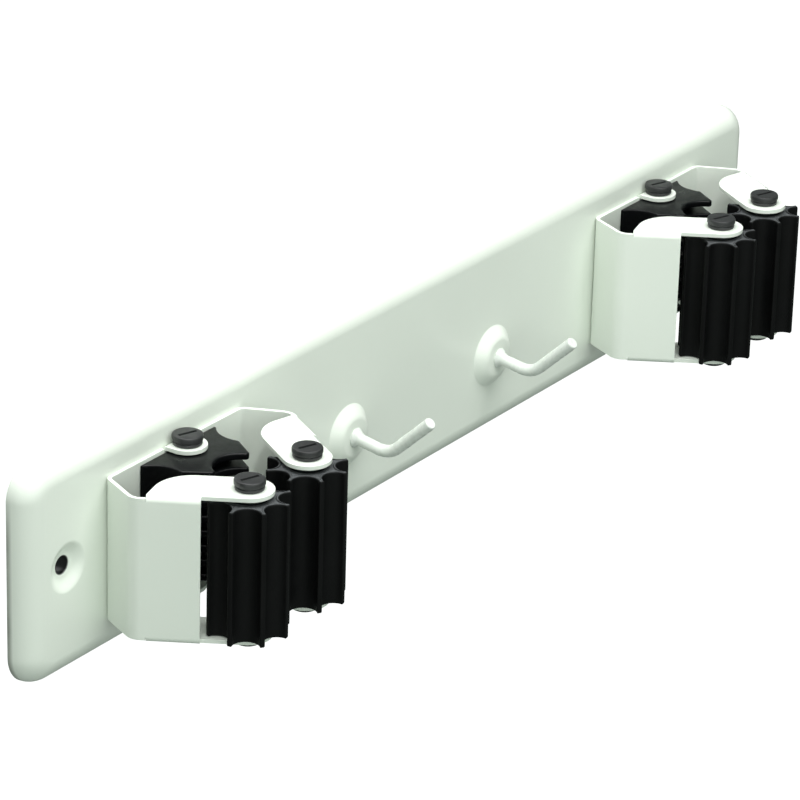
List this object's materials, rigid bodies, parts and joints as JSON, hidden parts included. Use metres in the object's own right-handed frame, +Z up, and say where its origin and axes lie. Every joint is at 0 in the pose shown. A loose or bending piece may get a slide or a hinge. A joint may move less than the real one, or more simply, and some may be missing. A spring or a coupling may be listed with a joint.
{
  "type": "wall rod holder",
  "caption": "Wall rail that grips upright rods and tool handles between ribbed rubber rollers and a rubber saddle, with hooks between the grips.",
  "frame": {"origin": "centre of the rail's back plane, midway between the two wall screws, where the rail meets the wall", "axes": "+X along the rail, left to right seen from the room; +Y into the wall; +Z up"},
  "size_m": [0.508, 0.0747, 0.09],
  "materials": {
    "coated_sheet": "smooth white powder coat on sheet steel, soft gloss",
    "coated_rod": "smooth white powder coat on steel rod",
    "rivet": "white coated rivet heads",
    "roller_rubber": "matte black moulded rubber",
    "saddle_rubber": "satin black moulded rubber",
    "pin_plastic": "black moulded plastic, satin",
    "bush_plastic": "dark grey moulded plastic"
  },
  "bodies": {
    "rail": {"wall_plate": "coated_sheet", "left_hook": "coated_rod", "right_hook": "coated_rod", "left_bracket": "coated_sheet", "right_bracket": "coated_sheet", "left_bracket_rivets": "rivet", "right_bracket_rivets": "rivet", "left_saddle": "saddle_rubber", "right_saddle": "saddle_rubber", "left_saddle_pin": "pin_plastic", "right_saddle_pin": "pin_plastic", "left_outer_pin": "pin_plastic", "left_inner_pin": "pin_plastic", "right_inner_pin": "pin_plastic", "right_outer_pin": "pin_plastic", "left_pin_caps": "pin_plastic", "right_pin_caps": "pin_plastic"},
    "left_outer_roller_body": {"left_outer_roller": "roller_rubber", "left_outer_bush": "bush_plastic"},
    "left_inner_roller_body": {"left_inner_roller": "roller_rubber", "left_inner_bush": "bush_plastic"},
    "right_inner_roller_body": {"right_inner_roller": "roller_rubber", "right_inner_bush": "bush_plastic"},
    "right_outer_roller_body": {"right_outer_roller": "roller_rubber", "right_outer_bush": "bush_plastic"}
  },
  "joints": [
    {"name": "left_outer_roller_spin", "type": "hinge", "parent": "rail", "child": "left_outer_roller_body", "pos_m": [-0.18545, -0.0586, -0.0015], "axis": [0, 0, 1], "continuous": true},
    {"name": "left_inner_roller_spin", "type": "hinge", "parent": "rail", "child": "left_inner_roller_body", "pos_m": [-0.14955, -0.0586, -0.0015], "axis": [0, 0, 1], "continuous": true},
    {"name": "right_inner_roller_spin", "type": "hinge", "parent": "rail", "child": "right_inner_roller_body", "pos_m": [0.14955, -0.0586, -0.0015], "axis": [0, 0, 1], "continuous": true},
    {"name": "right_outer_roller_spin", "type": "hinge", "parent": "rail", "child": "right_outer_roller_body", "pos_m": [0.18545, -0.0586, -0.0015], "axis": [0, 0, 1], "continuous": true}
  ]
}
